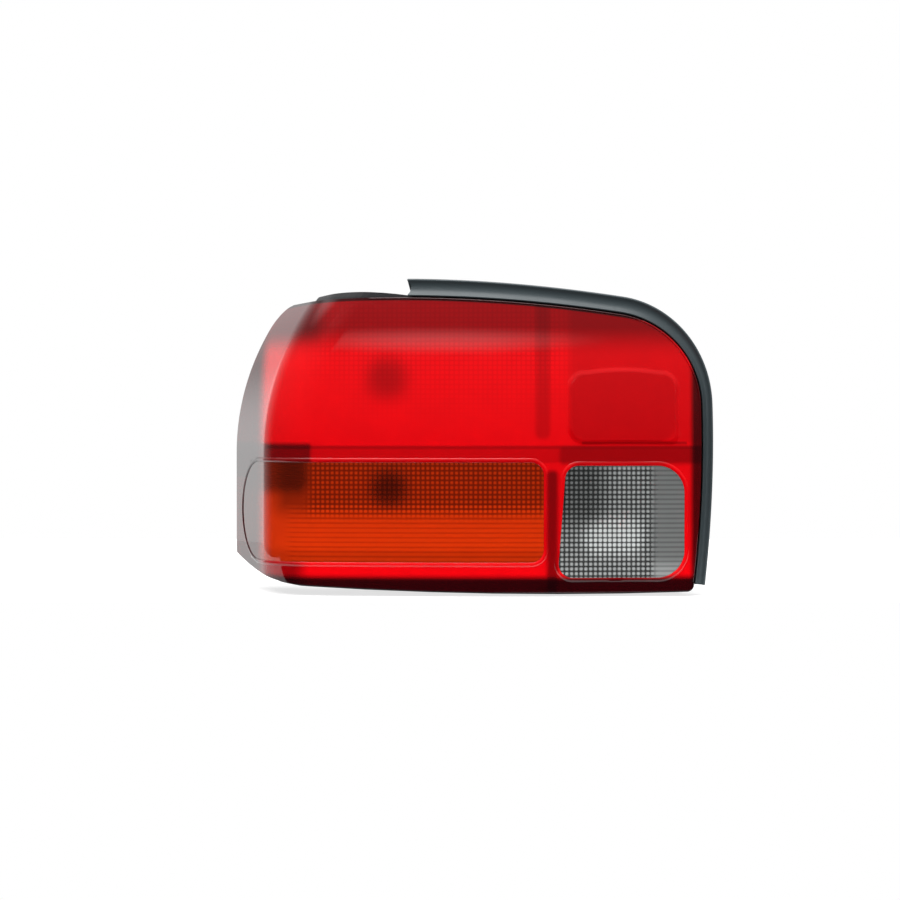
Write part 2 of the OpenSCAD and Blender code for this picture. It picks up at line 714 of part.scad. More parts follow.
module trim_strip() color("#2b3133") {
  n = 7;
  rows = len(strip_path);
  rings = [for (k = [0:rows - 1]) let (p = strip_path[k])
    concat([for (q = strip_front(p[2])) strip_point(p, q, k)],
      [for (i = [n - 1:-1:0]) strip_point(p, strip_back(p[2])[i], k)])];
  m = 2 * n;
  polyhedron(
    points = [for (r = rings) each r],
    faces = concat(
      [for (i = [0:n - 2]) [i, m - 2 - i, i + 1]], [for (i = [0:n - 2]) [i, m - 1 - i, m - 2 - i]],
      [for (k = [0:rows - 2]) for (i = [0:m - 1]) let (j = (i + 1) % m)
        [k * m + i, (k + 1) * m + j, (k + 1) * m + i]],
      [for (k = [0:rows - 2]) for (i = [0:m - 1]) let (j = (i + 1) % m)
        [k * m + i, k * m + j, (k + 1) * m + j]],
      [for (i = [0:n - 2]) let (o = (rows - 1) * m) [o + i, o + i + 1, o + m - 2 - i]],
      [for (i = [0:n - 2]) let (o = (rows - 1) * m) [o + i, o + m - 2 - i, o + m - 1 - i]]
    )
  );
}

gasket_in = tub_in + 2;
gasket_x = leg_x + 1.5;
// The gasket's upper left corner is cut off, clear of the brow of the flank
gasket_corner_z = lens_top - 18;
module gasket_outline(inset) intersection() {
  face_outline(gasket_in + inset);
  polygon([
    [gasket_x + inset, -far], [gasket_x + inset, gasket_corner_z - inset * tan(22.5)],
    [gasket_x + inset + far, gasket_corner_z - inset * tan(22.5) + far], [far + far, -far]
  ]);
}
module body_gasket() color("#17181a") difference() {
  across(0, gasket_t) gasket_outline(0);
  across(-cut, gasket_t + cut) gasket_outline(gasket_w);
}
module vent_cap() color("#2a2a2c") difference() {
  union() {
    rod(vent_at, vent_r - 2, -wall - 1.5, 0);
    rod(vent_at, vent_r, 0, 4);
  }
  rod(vent_at, vent_r - 3.5, -wall - 1.5 - cut, 2.5);
  translate([vent_at[0] - 1, 1, vent_at[1] - far]) cube([2, 1.5, far]);
}

// Bulbs and their holders, drawn about the mounting plane at the holder's axis
module axial(r, y0, y1) rod([0, 0], r, y0, y1);
light_y = -cap_seat - light_l;
cap_front = -cap_seat - cap_l;
neck_r = cap_r - 0.9;
module bulb_glass() color("#e8eef0") difference() {
  union() {
    translate([0, light_y, 0]) sphere(bulb_r);
    axial(neck_r, light_y, cap_front + 2.5);
  }
  translate([0, light_y, 0]) sphere(bulb_r - glass_t);
  axial(neck_r - glass_t, light_y, cap_front + 2.5 + cut);
}
module bulb_cap() color("#c9b27a") {
  difference() {
    axial(cap_r, cap_front, -cap_seat - 1.5);
    axial(cap_r - 0.6, cap_front - cut, cap_front + 3.5);
  }
  axial(cap_r - 1.5, -cap_seat - 1.5, -cap_seat - 0.5);
  axial(2.2, -cap_seat - 0.5, -cap_seat);
}
stem_r = 2.4;
wire_r = 0.35;
coil_half = 3;
module bulb_filament() color("#9a9a9a") {
  axial(stem_r, light_y + 9, cap_front + 3.2);
  for (s = [-1, 1]) translate([s * 1.4, 0, 0]) axial(wire_r, light_y, light_y + 9.5);
  translate([-coil_half, light_y, 0]) rotate([0, 90, 0]) cylinder(r = 0.7, h = 2 * coil_half);
}
socket_wall = 1.8;
socket_front = cap_front + 5;
socket_gap = 0.2;
grip_front = seal_t;
grip_back = seal_t + grip_t;
body_back = grip_back + body_l;
inlet_back = body_back + inlet_l;
inlet_w = 20;
inlet_h = 12;
inlet_wall = 1.6;
blade_at = 4.2;
blade_gap = 0.05;
module blade_slot(grow) for (s = [-1, 1])
  translate([s * blade_at - blade_t / 2 - grow, -cap_seat + 1 - grow, -blade_w / 2 - grow])
    cube([blade_t + 2 * grow, inlet_back - 3 + cap_seat - 1 + grow, blade_w + 2 * grow]);
module bulb_holder() color("#202124") difference() {
  union() {
    axial(barrel_r, -wall - lug_t - lug_gap - 1.5, grip_front);
    lugs(-holder_gap, -wall - lug_t - lug_gap, -wall - lug_gap);
    axial(cap_r + socket_gap + socket_wall, socket_front, 0);
    axial(grip_r, grip_front, grip_back);
    for (a = [0:30:150]) rotate([0, a, 0])
      translate([-grip_r - 1, grip_front, -1.2]) cube([2 * grip_r + 2, grip_t, 2.4]);
    axial(body_r, grip_back, body_back);
    translate([-inlet_w / 2, body_back - cut, -inlet_h / 2]) cube([inlet_w, inlet_l + cut, inlet_h]);
  }
  axial(cap_r + socket_gap, socket_front - cut, -cap_seat + 0.4);
  difference() {
    axial(barrel_r - 1.8, -wall - lug_t - lug_gap - 1.5 - cut, -2);
    axial(cap_r + socket_gap + socket_wall, -far, 0);
  }
  translate([inlet_wall - inlet_w / 2, body_back + 1, inlet_wall - inlet_h / 2])
    cube([inlet_w - 2 * inlet_wall, inlet_l, inlet_h - 2 * inlet_wall]);
  blade_slot(blade_gap);
}
module holder_seal() color("#121212") difference() {
  axial(grip_r - 0.8, 0, grip_front);
  axial(barrel_r + holder_gap, -cut, grip_front + cut);
  lugs(holder_gap, -cut, grip_front + cut);
}
module contacts() color("#c8a860") blade_slot(0);

module at_bulb(i) translate([bulbs[i][0], 0, bulbs[i][1]]) children();
module stop_bulb_glass() at_bulb(0) bulb_glass();
module stop_bulb_cap() at_bulb(0) bulb_cap();
module stop_bulb_filament() at_bulb(0) bulb_filament();
module stop_bulb_holder() at_bulb(0) bulb_holder();
module stop_holder_seal() at_bulb(0) holder_seal();
module stop_contacts() at_bulb(0) contacts();
module turn_bulb_glass() at_bulb(1) bulb_glass();
module turn_bulb_cap() at_bulb(1) bulb_cap();
module turn_bulb_filament() at_bulb(1) bulb_filament();
module turn_bulb_holder() at_bulb(1) bulb_holder();
module turn_holder_seal() at_bulb(1) holder_seal();
module turn_contacts() at_bulb(1) contacts();
module reversing_bulb_glass() at_bulb(2) bulb_glass();
module reversing_bulb_cap() at_bulb(2) bulb_cap();
module reversing_bulb_filament() at_bulb(2) bulb_filament();
module reversing_bulb_holder() at_bulb(2) bulb_holder();
module reversing_holder_seal() at_bulb(2) holder_seal();
module reversing_contacts() at_bulb(2) contacts();

lens_red();
lens_amber();
lens_clear();
housing();
lens_seal();
reflector();
reflector_screws();
trim_strip();
body_gasket();
mounting_studs();
vent_cap();
stop_bulb_glass();
stop_bulb_cap();
stop_bulb_filament();
stop_bulb_holder();
stop_holder_seal();
stop_contacts();
turn_bulb_glass();
turn_bulb_cap();
turn_bulb_filament();
turn_bulb_holder();
turn_holder_seal();
turn_contacts();
reversing_bulb_glass();
reversing_bulb_cap();
reversing_bulb_filament();
reversing_bulb_holder();
reversing_holder_seal();
reversing_contacts();
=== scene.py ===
# Rear lamp cluster of a small hatchback: lenses with their optics, trim and finishes round the CAD frame.
import math

import bmesh
import bpy
import numpy as np
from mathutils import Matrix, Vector


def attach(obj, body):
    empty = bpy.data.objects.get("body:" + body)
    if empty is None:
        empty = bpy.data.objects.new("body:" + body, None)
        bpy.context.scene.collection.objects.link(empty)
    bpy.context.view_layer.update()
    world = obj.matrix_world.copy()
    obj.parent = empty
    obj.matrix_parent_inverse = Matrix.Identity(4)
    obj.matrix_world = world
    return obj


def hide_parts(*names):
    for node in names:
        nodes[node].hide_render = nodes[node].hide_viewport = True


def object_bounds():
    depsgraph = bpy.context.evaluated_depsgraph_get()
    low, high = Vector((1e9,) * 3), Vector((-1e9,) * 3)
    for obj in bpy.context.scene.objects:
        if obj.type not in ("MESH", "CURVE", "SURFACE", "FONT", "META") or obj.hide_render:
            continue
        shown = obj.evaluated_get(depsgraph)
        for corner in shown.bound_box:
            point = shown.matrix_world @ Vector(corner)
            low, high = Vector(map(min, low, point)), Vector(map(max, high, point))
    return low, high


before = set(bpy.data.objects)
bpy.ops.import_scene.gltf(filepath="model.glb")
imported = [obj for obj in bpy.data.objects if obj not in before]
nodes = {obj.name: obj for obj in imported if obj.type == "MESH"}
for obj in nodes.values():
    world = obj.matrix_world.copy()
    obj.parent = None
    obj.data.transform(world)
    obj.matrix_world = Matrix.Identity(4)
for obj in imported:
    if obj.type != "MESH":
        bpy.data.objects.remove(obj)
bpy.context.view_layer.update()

mm = 0.001


# Small helpers

def linear(hexColour, alpha=1.0):  # sRGB hex to linear
    parts = [int(hexColour[i:i + 2], 16) / 255 for i in (1, 3, 5)]
    return tuple(c / 12.92 if c <= 0.04045 else ((c + 0.055) / 1.055) ** 2.4 for c in parts) + (alpha,)


def addNode(tree, kind, settings):  # each setting is a property, an input's value or a socket that feeds it
    node = tree.nodes.new("ShaderNode" + kind)
    for name, value in settings.items():
        if isinstance(value, bpy.types.NodeSocket):
            tree.links.new(value, node.inputs[name])
        elif isinstance(name, int) or name in node.inputs:
            node.inputs[name].default_value = value
        else:
            setattr(node, name, value)
    return node


def newMaterial(name):
    material = bpy.data.materials.new(name)
    material.use_nodes = True
    material.node_tree.nodes.clear()
    return material, material.node_tree


def finishWith(tree, shader):
    addNode(tree, "OutputMaterial", {"Surface": shader.outputs[0]})


def meshObject(name, points, faces):
    mesh = bpy.data.meshes.new(name)
    mesh.from_pydata((np.asarray(points) * mm).tolist(), [], faces)
    thing = bpy.data.objects.new(name, mesh)
    bpy.context.scene.collection.objects.link(thing)
    form = bmesh.new()
    form.from_mesh(mesh)
    bmesh.ops.recalc_face_normals(form, faces=form.faces)
    form.to_mesh(mesh)
    form.free()
    return thing


def loft(name, rings):  # joins closed rings of as many points each, and caps both ends
    m = len(rings[0])
    faces = [[k * m + i, k * m + (i + 1) % m, (k + 1) * m + (i + 1) % m, (k + 1) * m + i]
             for k in range(len(rings) - 1) for i in range(m)]
    faces += [list(range(m)), list(range((len(rings) - 1) * m, len(rings) * m))]
    return meshObject(name, np.concatenate(rings), faces)


def combine(target, cutter, operation):  # operation is UNION, DIFFERENCE or INTERSECT
    change = target.modifiers.new("change", "BOOLEAN")
    change.solver = "MANIFOLD"
    change.operation = operation
    change.object = cutter
    bpy.context.view_layer.update()
    result = bpy.data.meshes.new_from_object(target.evaluated_get(bpy.context.evaluated_depsgraph_get()))
    target.modifiers.clear()
    old = target.data
    target.data = result
    bpy.data.meshes.remove(old)
    bpy.data.objects.remove(cutter)
    return target


def finishPiece(piece, material, slot, *replaced, sharpAngle=32):
    piece.data.name = piece.name
    piece.data.materials.clear()
    piece.data.materials.append(material)
    piece.data.polygons.foreach_set("use_smooth", [True] * len(piece.data.polygons))
    piece.data.set_sharp_from_angle(angle=math.radians(sharpAngle))
    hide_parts(*replaced)
    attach(piece, "root")
    print("made", piece.name, len(piece.data.polygons), "faces")


# The lens surface, in millimetres, as the part's source has it

lens = {
    "right": 147.3, "sideBowR": 800, "top": 90.8, "crestX": -45, "topBowR": 950, "cornerR": 59,
    "bottom": 94.4, "sagX": 60, "bottomBowR": 2900, "leftToeR": 90, "leftToeX": -105, "toeR": 3,
    "flankToeR": 25, "flankBrowR": 15, "reach": 62, "faceMidX": 25, "faceBowR": 1200, "turnX": 97,
    "turnR": 40, "flankAngle": math.radians(68), "flankReach": 22, "leanStartZ": -8, "leanR": 170,
    "faceLean": 0.3, "wall": 3, "skirtDepth": 12, "skirtWall": 2.5,
    "flutePitch": 3.0, "pillowRise": 1.0,
}
far = 260  # past every side of the lamp
frontY = -130
backY = 60


def heading(a):
    return np.stack([np.cos(a), np.sin(a)], -1)


def facing(a):
    return np.stack([-np.sin(a), -np.cos(a)], -1)


turnStart = math.asin((lens["faceMidX"] + lens["turnX"]) / lens["faceBowR"])
faceCentre = np.array([lens["faceMidX"], lens["faceBowR"] - lens["reach"]])
turnBase = faceCentre + (lens["faceBowR"] - lens["turnR"]) * facing(turnStart)
flankIn = -facing(lens["flankAngle"])
flankAlong = np.array([-math.cos(lens["flankAngle"]), math.sin(lens["flankAngle"])])
flankStart = turnBase + lens["turnR"] * facing(lens["flankAngle"])


def lean(z):
    up = np.maximum(z - lens["leanStartZ"], 0)
    return lens["leanR"] - np.sqrt(lens["leanR"] ** 2 - up ** 2)


def faceRadius(z):
    return lens["faceBowR"] - lens["faceLean"] * lean(z)


def turnCentre(z):
    rho = faceRadius(z) - lens["turnR"]
    h = lean(z) + (turnBase - faceCentre) @ flankIn
    return faceCentre + h[..., None] * flankIn - np.sqrt(rho ** 2 - h ** 2)[..., None] * flankAlong


def onSkin(s, z, depth):  # s runs along the surface from the middle of the face, to the left
    s, z, depth = np.broadcast_arrays(np.asarray(s, float), np.asarray(z, float), np.asarray(depth, float))
    radius = faceRadius(z)
    centre = turnCentre(z)
    away = faceCentre - centre
    a0 = np.arctan2(away[..., 0], away[..., 1])
    faceRun = a0 * radius
    turnRun = (lens["flankAngle"] - a0) * lens["turnR"]
    onFace = s < faceRun
    a = np.where(onFace, s / radius, np.minimum(a0 + (s - faceRun) / lens["turnR"], lens["flankAngle"]))
    past = np.maximum(s - faceRun - turnRun, 0)
    middle = np.where(onFace[..., None], faceCentre, centre)
    reach = np.where(onFace, radius, lens["turnR"]) - depth
    p = middle + reach[..., None] * facing(a) + past[..., None] * flankAlong
    return np.stack([p[..., 0], p[..., 1], z], -1)


def faceY(x, z):
    return faceCentre[1] - np.sqrt(faceRadius(np.asarray(z, float)) ** 2 - (x - lens["faceMidX"]) ** 2)


def solidBehind(name, sValues, zValues, depthAt):  # all that lies more than a depth behind the surface
    z, s = np.meshgrid(zValues, sValues, indexing="ij")
    skin = onSkin(s, z, depthAt(s, z))
    right = skin[:, :1] * [0, 0, 1] + [lens["right"] + 60, backY, 0]
    left = skin[:, -1:] * [1, 0, 1] + [0, backY, 0]
    ring = np.concatenate([right, skin, left], axis=1)
    rows, n = ring.shape[:2]
    j, i = np.meshgrid(np.arange(rows - 1), np.arange(n), indexing="ij")
    k = (i + 1) % n
    quads = np.stack([j * n + i, j * n + k, (j + 1) * n + k, (j + 1) * n + i], -1).reshape(-1, 4).tolist()
    caps = [list(range(n)), list(range((rows - 1) * n, rows * n))]
    return meshObject(name, ring.reshape(-1, 3), quads + caps)


def prism(name, outline, axis, low, high):  # outline is (x, z) for axis y, or (y, z) for axis x
    outline = np.asarray(outline)
    n = len(outline)
    order = {"y": (0, None, 1), "x": (None, 0, 1)}[axis]
    points = []
    for end in (low, high):
        columns = [np.full(n, float(end)) if c is None else outline[:, c] for c in order]
        points.append(np.stack(columns, -1))
    sides = [[i, (i + 1) % n, n + (i + 1) % n, n + i] for i in range(n)]
    return meshObject(name, np.concatenate(points), sides + [list(range(n)), list(range(n, 2 * n))])


def arc(centre, r, a0, a1, steps, first=0):  # angles in radians
    a = a0 + (a1 - a0) * np.arange(first, steps + 1) / steps
    return np.asarray(centre) + r * heading(a)


def meeting(c1, r1, c2, r2):
    d = np.linalg.norm(c2 - c1)
    u = (c2 - c1) / d
    a = (d * d + r1 * r1 - r2 * r2) / (2 * d)
    return c1 + a * u + math.sqrt(r1 * r1 - a * a) * np.array([u[1], -u[0]])


def bearing(p):
    return math.atan2(p[1], p[0])


topCentre = np.array([lens["crestX"], lens["top"] - lens["topBowR"]])
sideCentre = np.array([lens["right"] - lens["sideBowR"], 0.0])
bottomCentre = np.array([lens["sagX"], lens["bottomBowR"] - lens["bottom"]])
cornerCentre = meeting(
    topCentre, lens["topBowR"] - lens["cornerR"], sideCentre, lens["sideBowR"] - lens["cornerR"])
toeCentre = meeting(
    sideCentre, lens["sideBowR"] - lens["toeR"], bottomCentre, lens["bottomBowR"] - lens["toeR"])
leftToeA = math.asin((lens["sagX"] - lens["leftToeX"]) / lens["bottomBowR"])
leftToeCentre = bottomCentre - (lens["bottomBowR"] - lens["leftToeR"]) * np.array(
    [math.sin(leftToeA), math.cos(leftToeA)])
cornerA0 = bearing(cornerCentre - topCentre)
cornerA1 = bearing(cornerCentre - sideCentre)
toeA0 = bearing(toeCentre - sideCentre)
toeA1 = bearing(toeCentre - bottomCentre)


def faceOutline(inset):
    if inset > lens["toeR"] - 0.5:
        toe = [meeting(sideCentre, lens["sideBowR"] - inset, bottomCentre, lens["bottomBowR"] - inset)]
    else:
        toe = arc(toeCentre, lens["toeR"] - inset, toeA0, toeA1, 8)
    quarter = math.pi / 2
    return np.concatenate([
        arc(topCentre, lens["topBowR"] - inset, math.radians(99), cornerA0, 60),
        arc(cornerCentre, lens["cornerR"] - inset, cornerA0, cornerA1, 40, 1),
        arc(sideCentre, lens["sideBowR"] - inset, cornerA1, toeA0, 24, 1)[:-1],
        toe,
        arc(bottomCentre, lens["bottomBowR"] - inset, toeA1, -quarter - leftToeA, 40, 1),
        arc(leftToeCentre, lens["leftToeR"] - inset, -quarter - leftToeA, -2 * quarter, 40, 1),
    ])


flankX = flankStart[0] - (lens["flankReach"] - flankStart[1]) / math.tan(lens["flankAngle"])
flankTopZ = topCentre[1] + math.sqrt(
    lens["topBowR"] ** 2 - (flankX + float(lean(np.array(lens["top"]))) - lens["crestX"]) ** 2)


def flankOutline(inset):
    back, low = lens["flankReach"] - inset, inset - lens["bottom"]
    toe, brow = lens["flankToeR"] - inset, lens["flankBrowR"] - inset
    browAt = [lens["flankReach"] - lens["flankBrowR"], flankTopZ - lens["flankBrowR"]]
    high = lens["top"] + 60
    return np.concatenate([
        [[-far, low]],
        arc([back - toe, low + toe], toe, -math.pi / 2, 0, 20),
        arc(browAt, brow, 0, math.pi / 2, 16),
        [[browAt[0], high], [-far, high]],
    ])


def outlineBlock(inset):
    block = prism("outline", faceOutline(inset), "y", frontY, backY)
    return combine(block, prism("flank", flankOutline(inset), "x", -far, far), "INTERSECT")


# The windows

turnWindow = {"top": 13, "height": 62.5, "right": 48, "cornerR": 8, "reach": 8}
reversingWindow = {"top": 15, "height": 70, "left": 57.5, "width": 79, "lean": 4, "cornerR": 17}
weldGap = 0.1
turnFoot = -turnWindow["top"] - turnWindow["height"]
turnMidZ = turnFoot + turnWindow["height"] / 2
turnEndY = turnWindow["reach"] - turnWindow["height"] / 2
reversingFoot = -reversingWindow["top"] - reversingWindow["height"]


def turnCorners(inset, steps):
    r, half = turnWindow["cornerR"], math.pi / 2
    x = turnWindow["right"] - r
    return np.concatenate([
        arc([x, -turnWindow["top"] - r], r - inset, half, 0, steps),
        arc([x, turnFoot + r], r - inset, 0, -half, steps),
    ])


def turnBlock(inset):
    front = np.concatenate([
        [[-far, -turnWindow["top"] - inset]], turnCorners(inset, 16), [[-far, turnFoot + inset]]])
    endR = turnWindow["height"] / 2 - inset
    side = np.concatenate([
        [[-far, turnFoot + inset]],
        arc([turnEndY, turnMidZ], endR, -math.pi / 2, math.pi / 2, 60),
        [[-far, -turnWindow["top"] - inset]]])
    block = prism("turn", front, "y", frontY, backY)
    return combine(block, prism("turnSide", side, "x", -far, far), "INTERSECT")


def reversingOutline(inset, steps=16):
    big, top, foot = reversingWindow["cornerR"], -reversingWindow["top"], reversingFoot
    small, half = big / 2, math.pi / 2
    left, right = reversingWindow["left"], reversingWindow["left"] + reversingWindow["width"]
    return np.concatenate([
        arc([left + reversingWindow["lean"] + small, top - small], small - inset, 2 * half, half, steps),
        arc([right - big, top - big], big - inset, half, 0, steps),
        arc([right - big, foot + big], big - inset, 0, -half, steps),
        arc([left + small, foot + small], small - inset, -half, -2 * half, steps),
    ])


def reversingBlock(inset):
    return prism("reversing", reversingOutline(inset), "y", frontY, backY)


def flatRing(outline, y):
    outline = np.asarray(outline)
    return np.stack([outline[:, 0], np.full(len(outline), float(y)), outline[:, 1]], -1)


def alongFace(outline, depth):
    outline = np.asarray(outline)
    return np.stack([outline[:, 0], faceY(outline[:, 0], outline[:, 1]) + depth, outline[:, 1]], -1)


def respaced(path, step):  # the closed path with even spacing
    closed = np.concatenate([path, path[:1]])
    run = np.concatenate([[0], np.cumsum(np.linalg.norm(np.diff(closed, axis=0), axis=1))])
    at = np.linspace(0, run[-1], int(run[-1] / step) + 1)[:-1]
    return np.stack([np.interp(at, run, closed[:, c]) for c in range(3)], -1)


def turnLoop(inset, depth):
    # along the foot and the top the path follows the surface round the corner
    z0, z1 = turnFoot + inset, -turnWindow["top"] - inset
    a = np.linspace(-math.pi / 2, math.pi / 2, 60)
    endR = turnWindow["height"] / 2 - inset
    endZ, endY = turnMidZ + endR * np.sin(a), turnEndY + endR * np.cos(a)
    endX = flankStart[0] - (endY - flankStart[1]) / math.tan(lens["flankAngle"])
    span = np.linspace(-12, 165, 180)
    low, high = onSkin(span, z0, depth), onSkin(span[::-1], z1, depth)
    low, high = low[low[:, 1] < turnEndY], high[high[:, 1] < turnEndY]
    leanIn = lean(endZ)
    end = np.stack([endX, endY, endZ], -1) + np.concatenate(
        [(leanIn + depth)[:, None] * flankIn, np.zeros((len(a), 1))], -1)
    corners = alongFace(turnCorners(inset, 12), depth)
    return respaced(np.concatenate([corners, low, end, high]), 1.5)


def tube(name, path, r, sides=12, closed=True):
    path = np.asarray(path)
    n = len(path)
    ahead = np.roll(path, -1, 0) - np.roll(path, 1, 0) if closed else np.gradient(path, axis=0)
    ahead /= np.linalg.norm(ahead, axis=1)[:, None]
    outward = np.cross(ahead, [0, 1, 0])
    outward /= np.linalg.norm(outward, axis=1)[:, None]
    other = np.cross(ahead, outward)
    a = np.arange(sides) * 2 * math.pi / sides
    points = (path[:, None] + r * (np.cos(a)[None, :, None] * outward[:, None]
                                   + np.sin(a)[None, :, None] * other[:, None])).reshape(-1, 3)
    faces = [[i * sides + k, i * sides + (k + 1) % sides, (i + 1) % n * sides + (k + 1) % sides,
              (i + 1) % n * sides + k] for i in range(n if closed else n - 1) for k in range(sides)]
    if not closed:
        faces += [list(range(sides)), list(range((n - 1) * sides, n * sides))]
    return meshObject(name, points, faces)


# Optics inside the lenses: pillows or flutes of one pitch, with sharp grooves between them

pitch = lens["flutePitch"]


def crown(t):
    return 1 - (2 * np.mod(t / pitch, 1) - 1) ** 2


def depthOfPillows(s, z, pillowed, fluted):
    rise = lens["pillowRise"]
    return lens["wall"] + rise * (0.5 * (crown(s) + crown(z)) * pillowed + crown(z) * fluted * (1 - pillowed))


def stopOptics(s, z):
    above = (z >= 0) & (z <= lens["top"] - 4)
    left = s > -36
    return depthOfPillows(s, z, above & left & (s < 114), above & left)


def turnOptics(s, z):
    fine = (s < 120) & (z > turnMidZ)
    return depthOfPillows(s, z, fine, np.ones_like(s))


def reversingOptics(s, z):
    return depthOfPillows(s, z, s > -102, np.zeros_like(s))


fineStep = pitch / 4
stopColumns = np.concatenate([
    np.arange(-150, -36, pitch), np.arange(-36, 114.01, fineStep), np.arange(117, 235, pitch)])
stopRows = np.concatenate([
    np.arange(-111, -0.1, pitch), np.arange(0, 87.01, fineStep), np.arange(90, 109, pitch)])
turnColumns = np.concatenate([np.arange(-27, 120.01, fineStep), np.arange(123, 235, pitch)])
turnRows = np.arange(math.floor(turnFoot / pitch) * pitch - pitch, -9, fineStep)
reversingColumns = np.arange(-126, -27, fineStep)
reversingRows = np.arange(math.floor(reversingFoot / pitch) * pitch - pitch, -9, fineStep)
outerColumns = np.arange(-150, 236, 2.0)
outerRows = np.arange(-112, 109, 2.0)
plainColumns = np.arange(-150, 236, 5.0)
plainRows = np.arange(-112, 109, 5.0)


def level(depth):
    return lambda s, z: np.full_like(s, float(depth))


# Materials

smooth = {"interpolation_type": "SMOOTHSTEP"}


def inBox(tree, place, part):
    # 1 well inside a rounded box of x0, z0, x1, z1 in millimetres, or on a line along its edge, and 0 outside
    x0, z0, x1, z1 = part["box"]
    r, soft, ring = part["r"], part["soft"], part.get("ring", 0)
    middle = ((x0 + x1) / 2 * mm, 0, (z0 + z1) / 2 * mm)
    half = (((x1 - x0) / 2 - r) * mm, 1.0, ((z1 - z0) / 2 - r) * mm)
    step = addNode(tree, "VectorMath", {"operation": "SUBTRACT", 0: place, 1: middle})
    step = addNode(tree, "VectorMath", {"operation": "ABSOLUTE", 0: step.outputs[0]})
    step = addNode(tree, "VectorMath", {"operation": "SUBTRACT", 0: step.outputs[0], 1: half})
    step = addNode(tree, "VectorMath", {"operation": "MAXIMUM", 0: step.outputs[0], 1: (0, 0, 0)})
    away = addNode(tree, "VectorMath", {"operation": "LENGTH", 0: step.outputs[0]}).outputs["Value"]
    start, full = r + soft / 2, r - soft / 2
    if ring:
        away = addNode(tree, "Math", {"operation": "SUBTRACT", 0: away, 1: r * mm}).outputs[0]
        away = addNode(tree, "Math", {"operation": "ABSOLUTE", 0: away}).outputs[0]
        start, full = (ring + soft) / 2, (ring - soft) / 2
    limits = {"From Min": start * mm, "From Max": full * mm}
    return addNode(tree, "MapRange", {**smooth, **limits, "Value": away}).outputs[0]


def withPaintedShade(tree, place, light, paintedShades):  # the light factor with painted shade and painted light: scaled in each box towards that box's own light, dimmer where something dark would stand behind the lens
    for shade in paintedShades:
        part = inBox(tree, place, shade)
        left = addNode(tree, "MapRange", {**smooth, "Value": part, "To Min": 1.0, "To Max": shade["light"]})
        light = addNode(tree, "Math", {"operation": "MULTIPLY", 0: light, 1: left.outputs[0]}).outputs[0]
    return light


def pillowed(tree, place, light, sharp, paintedGlintFields):  # painted highlights: the light factor broken into bright points or lines with darker grooves between, as the optics would show them
    axes = addNode(tree, "SeparateXYZ", {0: place})
    waves = []
    for axis, start in (("X", lens["faceMidX"] * mm), ("Z", 0.0)):
        run = addNode(tree, "Math", {"operation": "SUBTRACT", 0: axes.outputs[axis], 1: start})
        run = addNode(tree, "Math", {"operation": "MULTIPLY", 0: run.outputs[0], 1: math.pi / (pitch * mm)})
        run = addNode(tree, "Math", {"operation": "SINE", 0: run.outputs[0]})
        waves.append(addNode(tree, "Math", {"operation": "ABSOLUTE", 0: run.outputs[0]}).outputs[0])
    both = addNode(tree, "Math", {"operation": "MULTIPLY", 0: waves[0], 1: waves[1]}).outputs[0]
    for field in paintedGlintFields:
        wave = both if field["points"] else waves[1]
        step = addNode(tree, "Math", {"operation": "POWER", 0: wave, 1: sharp})
        step = addNode(tree, "MapRange", {**smooth, "Value": step.outputs[0], "To Min": field["groove"],
                                          "To Max": field["crest"]})
        step = addNode(tree, "Math", {"operation": "SUBTRACT", 0: step.outputs[0], 1: 1.0})
        part = inBox(tree, place, field)
        step = addNode(tree, "Math", {"operation": "MULTIPLY", 0: step.outputs[0], 1: part})
        step = addNode(tree, "Math", {"operation": "ADD", 0: step.outputs[0], 1: 1.0})
        light = addNode(tree, "Math", {"operation": "MULTIPLY", 0: light, 1: step.outputs[0]}).outputs[0]
    return light


def clearShell(finish):
    # Moulded acrylic or blown glass, smooth outside: a clear deep colour, a sharp highlight, a little haze.
    # Painted light and shade: the optics are painted into the colour as bright points between dark grooves,
    # and painted shade darkens it where something would stand behind.
    material, tree = newMaterial(finish["name"])
    place = addNode(tree, "TexCoord", {}).outputs["Object"]
    haze = addNode(tree, "TexNoise", {"Vector": place, "Scale": 1 / (finish["haze"] * mm), "Detail": 3.0,
                                      "Roughness": 0.6}).outputs["Fac"]
    rough = addNode(tree, "MapRange", {"Value": haze, "From Min": 0.35, "From Max": 0.7,
                                       "To Min": finish["roughness"], "To Max": finish["roughness"] + 0.03})
    light = addNode(tree, "MapRange", {**smooth, "Value": haze, "From Min": 0.2, "From Max": 0.8,
                                       "To Min": 0.94, "To Max": 1.0}).outputs[0]
    light = withPaintedShade(tree, place, light, finish["paintedShades"])
    if finish["paintedGlintFields"]:
        light = pillowed(tree, place, light, finish["sharp"], finish["paintedGlintFields"])
    # painted light and shade: the base colour runs from the deep colour where the light factor is 0 to the
    # own colour where it is 1
    paintedLightTint = addNode(tree, "Mix", {"data_type": "RGBA", 0: light, 6: linear(finish["deep"]),
                                 7: linear(finish["colour"])})
    shader = addNode(tree, "BsdfPrincipled", {
        "IOR": finish["ior"], "Transmission Weight": 1.0 - finish["body"], "Base Color": paintedLightTint.outputs[2],
        "Roughness": rough.outputs[0]})
    finishWith(tree, shader)
    return material


cloudSize = 40  # millimetres across one cloud in a moulded sheen


